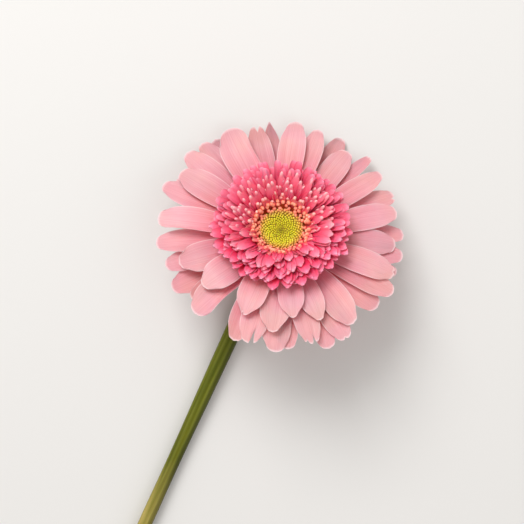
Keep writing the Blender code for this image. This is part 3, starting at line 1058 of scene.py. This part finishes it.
def disc_outline():
    """The domed floor of the disc, from the model's own outline and a little lower."""
    radius, _, height = around_axis(node_points("disc_florets"))
    rows = split_rows(radius, 0.3 * MM)
    outline = [(radius[row].mean(), height[row].max() - 0.4 * MM) for row in rows]
    return outline[1:] + [(outline[-1][0], 0.0)]


class GERBERA_OT_disc(bpy.types.Operator):
    """Set the closed buds of the disc in their spiral"""
    bl_idname = "gerbera.disc"
    bl_label = "Disc"

    def execute(self, context):
        settings = context.scene.gerbera_disc
        bed = turned_body("disc_bed", disc_outline(), TURNED_SIDES)
        buds = grow("disc_buds", bud_tree(), {
            "Count": settings.buds, "Radius": settings.radius, "Spread": settings.spread,
            "Size": BUD_SIZE, "Rim Height": RIM_HEIGHT, "Bed": bed, "Seed": 5,
            "Material": bud_finish()})
        self.map_buds(buds.data)
        buds.data.transform(HEAD @ Matrix.Translation((0.0, -settings.aside, 0.0)))
        finish_piece(buds)
        bed.data.materials.append(bed_finish())
        bed.data.transform(HEAD)
        finish_piece(bed, ["disc_florets"])
        return {"FINISHED"}

    def map_buds(self, mesh):
        """UV map: across is the place from the disc's middle, along is up each bud."""
        while mesh.uv_layers:
            mesh.uv_layers.remove(mesh.uv_layers[0])
        corners = corner_vertices(mesh)
        values = np.empty((2, len(mesh.vertices)))
        for row, label in zip(values, ("ring", "height")):
            mesh.attributes[label].data.foreach_get("value", row)
        lay_uv(mesh, *values[:, corners])


class GERBERA_OT_bracts(bpy.types.Operator):
    """Grow the green bracts behind the petals"""
    bl_idname = "gerbera.bracts"
    bl_label = "Bracts"

    def execute(self, context):
        tree = whorl_tree()
        finish = bract_finish()
        for number, node in enumerate(BRACT_NODES):
            line = whorl_line(node)
            blade = blade_template("bract", line, BRACT_HALF_WIDTH, BRACT_THICKNESS,
                                   BRACT_CHANNEL, 0.15, 0.0, foot_width=0.75)
            piece = grow_whorl(f"bract_whorl_{number + 1}", tree, line, (blade,), finish,
                               Count=24, Turn=0.13 * number, Short=0.12, Askew=0.03,
                               Seed=300 + number)
            finish_piece(piece, [node])
        return {"FINISHED"}


# ---------------- stem

# Where the stem's line starts below the disc, its first steps, and its spacing in the end.
STEM_START, STEM_STEP, STEM_SPACING = 12.0 * MM, 1.5 * MM, 1.2 * MM
RECEPTACLE_DEPTH = 14.4 * MM


def stem_tree():
    """A ribbed tube along a line that carries its own radius."""
    tree, given = new_tree("Stem", Geometry=("Line",), Int=("Ribs",),
                           Float=("Rib Depth", "Painted Shade Side"), Material=("Material",))
    path = wire(tree, "GeometryNodeMeshToCurve", {"Mesh": given["Line"]})
    path = store(tree, path, "along", wire(tree, "GeometryNodeSplineParameter")["Factor"])
    thick = wire(tree, "GeometryNodeInputNamedAttribute", {"Name": "thick"}, data_type="FLOAT")
    place = wire(tree, "GeometryNodeInputPosition")
    x, y, _ = parts_of(tree, place)
    angle = y.step("ARCTAN2", x)
    rib = (angle * given["Ribs"]).step("COSINE") * 0.5 + 0.5
    # painted shade: 1 on the side of the stem painted darkest, 0 on the side opposite
    flank = (angle - given["Painted Shade Side"]).step("COSINE") * 0.5 + 0.5
    profile = wire(tree, "GeometryNodeCurvePrimitiveCircle", {"Resolution": 54, "Radius": 1.0})
    for name, value in (("rib", rib), ("flank", flank)):
        profile = store(tree, profile, name, value)
    inset = (rib - 1.0) * given["Rib Depth"] + 1.0
    profile = wire(tree, "GeometryNodeSetPosition", {
        "Geometry": profile, "Position": vector_math(tree, "SCALE", place, scale=inset)})
    tube = wire(tree, "GeometryNodeCurveToMesh", {
        "Curve": path, "Profile Curve": profile, "Scale": thick, "Fill Caps": True})
    close_tree(tree, tube, given["Material"])
    return tree


def even_line(line, radii, spacing):
    """The same line with points at an even spacing and its small kinks smoothed."""
    steps = np.concatenate(((0,), np.cumsum(np.linalg.norm(np.diff(line, axis=0), axis=1))))
    places = np.linspace(0, steps[-1], int(steps[-1] / spacing) + 1)
    columns = np.stack([np.interp(places, steps, part) for part in (*line.T, radii)], axis=1)
    weights = np.array((1, 4, 6, 4, 1)) / 16.0
    for _ in range(6):
        padded = np.pad(columns, ((2, 2), (0, 0)), mode="reflect", reflect_type="odd")
        columns = sum(w * padded[i:i + len(columns)] for i, w in enumerate(weights))
    return columns[:, :3], columns[:, 3]


class GERBERA_OT_stem(bpy.types.Operator):
    """Grow the ribbed stem along the model's stem"""
    bl_idname = "gerbera.stem"
    bl_label = "Stem"

    def execute(self, context):
        settings = context.scene.gerbera_stem
        line, radii = even_line(*follow_stem(STEM_START, STEM_STEP), STEM_SPACING)
        mesh = bpy.data.meshes.new("stem_line")
        mesh.from_pydata(line.tolist(), [(i, i + 1) for i in range(len(line) - 1)], [])
        thick = mesh.attributes.new("thick", "FLOAT", "POINT")
        thick.data.foreach_set("value", radii)
        stem = grow("scape", stem_tree(), {
            "Ribs": settings.ribs, "Rib Depth": settings.rib_depth,
            "Painted Shade Side": settings.painted_shade_side, "Material": stem_finish()}, mesh)
        finish_piece(stem, ["stem"])
        cup = turned_body("receptacle", receptacle_rings(RECEPTACLE_DEPTH), 48)
        cup.data.materials.append(receptacle_finish())
        cup.data.transform(HEAD)
        finish_piece(cup)
        return {"FINISHED"}


# ---------------- stage

FLOOR_SIZE, CLIP_START = 4.0, 0.01
WORLD_COLOR, WORLD_STRENGTH = (1.0, 0.985, 0.97, 1.0), 0.58
# Each lamp's name, its place from the head, its size in metres and its power in watts.
LAMPS = (("key", (-0.6, 0.5, 0.75), 0.6, 10.0), ("fill", (0.7, -0.2, 0.7), 0.9, 1.6))


class GERBERA_OT_stage(bpy.types.Operator):
    """Set the pale floor, the soft light and the camera above the flower"""
    bl_idname = "gerbera.stage"
    bl_label = "Stage"

    def execute(self, context):
        settings = context.scene.gerbera_stage
        self.lay_floor(settings)
        context.scene.view_settings.view_transform = "Standard"
        self.hang_lights(context.scene)
        self.aim_camera(context.scene, settings)
        return {"FINISHED"}

    def lay_floor(self, settings):
        bpy.ops.mesh.primitive_plane_add(size=FLOOR_SIZE)
        floor = bpy.context.object
        floor.name = "floor"
        material, tree = new_finish("floor_paper", 0.75)
        darker = [0.985 * part for part in settings.floor_color]
        paint(tree, ramp(tree, noise(tree, 3.0), [
            (0.0, (*settings.floor_color, 1.0)), (1.0, (*darker, 1.0))]))
        floor.data.materials.append(material)

    def hang_lights(self, scene):
        world = bpy.data.worlds.new("studio")
        world.use_nodes = True
        background = world.node_tree.nodes["Background"]
        background.inputs["Color"].default_value = WORLD_COLOR
        background.inputs["Strength"].default_value = WORLD_STRENGTH
        scene.world = world
        for name, offset, size, power in LAMPS:
            light = bpy.data.lights.new(name, "AREA")
            light.size = size
            light.energy = power
            lamp = link(bpy.data.objects.new(name, light))
            lamp.location = HEAD.translation + Vector(offset)
            lamp.rotation_euler = (-Vector(offset)).to_track_quat("-Z", "Y").to_euler()

    def aim_camera(self, scene, settings):
        side = HEAD.to_3x3().col[0]
        back = (Matrix.Rotation(-settings.lean, 3, side) @ Vector((0, 0, 1))).normalized()
        top = back.cross(side)
        target = HEAD.translation - side * settings.right - top * settings.up
        camera = bpy.data.cameras.new("camera")
        camera.angle = settings.view_angle
        camera.clip_start = CLIP_START
        view = link(bpy.data.objects.new("camera", camera))
        place = Matrix((side, top, back)).transposed().to_4x4()
        place.translation = target + back * settings.distance
        view.matrix_world = place
        scene.camera = view


class GERBERA_PT_sidebar(bpy.types.Panel):
    """The flower's parts, each with its settings"""
    bl_idname = "GERBERA_PT_sidebar"
    bl_label = "Cut Gerbera"
    bl_space_type = "VIEW_3D"
    bl_region_type = "UI"
    bl_category = "Gerbera"

    def draw(self, context):
        for name in ("petals", "crest", "disc", "stem", "stage"):
            box = self.layout.box()
            box.operator("gerbera." + name)
            settings = getattr(context.scene, "gerbera_" + name)
            for label in settings.__annotations__:
                box.prop(settings, label)
        self.layout.operator("gerbera.bracts")


SETTINGS = {"gerbera_petals": GerberaPetals, "gerbera_crest": GerberaCrest,
            "gerbera_disc": GerberaDisc, "gerbera_stem": GerberaStem,
            "gerbera_stage": GerberaStage}
OPERATORS = (GERBERA_OT_petals, GERBERA_OT_crest, GERBERA_OT_disc, GERBERA_OT_bracts,
             GERBERA_OT_stem, GERBERA_OT_stage)


def register():
    for name, group in SETTINGS.items():
        bpy.utils.register_class(group)
        setattr(bpy.types.Scene, name, PointerProperty(type=group))
    for operator in OPERATORS:
        bpy.utils.register_class(operator)
    bpy.utils.register_class(GERBERA_PT_sidebar)


def unregister():
    bpy.utils.unregister_class(GERBERA_PT_sidebar)
    for operator in reversed(OPERATORS):
        bpy.utils.unregister_class(operator)
    for name, group in SETTINGS.items():
        delattr(bpy.types.Scene, name)
        bpy.utils.unregister_class(group)


def main():
    register()
    bpy.ops.gerbera.petals()
    bpy.ops.gerbera.crest()
    bpy.ops.gerbera.disc()
    bpy.ops.gerbera.bracts()
    bpy.ops.gerbera.stem()
    bpy.ops.gerbera.stage()


if __name__ == "__main__":
    main()
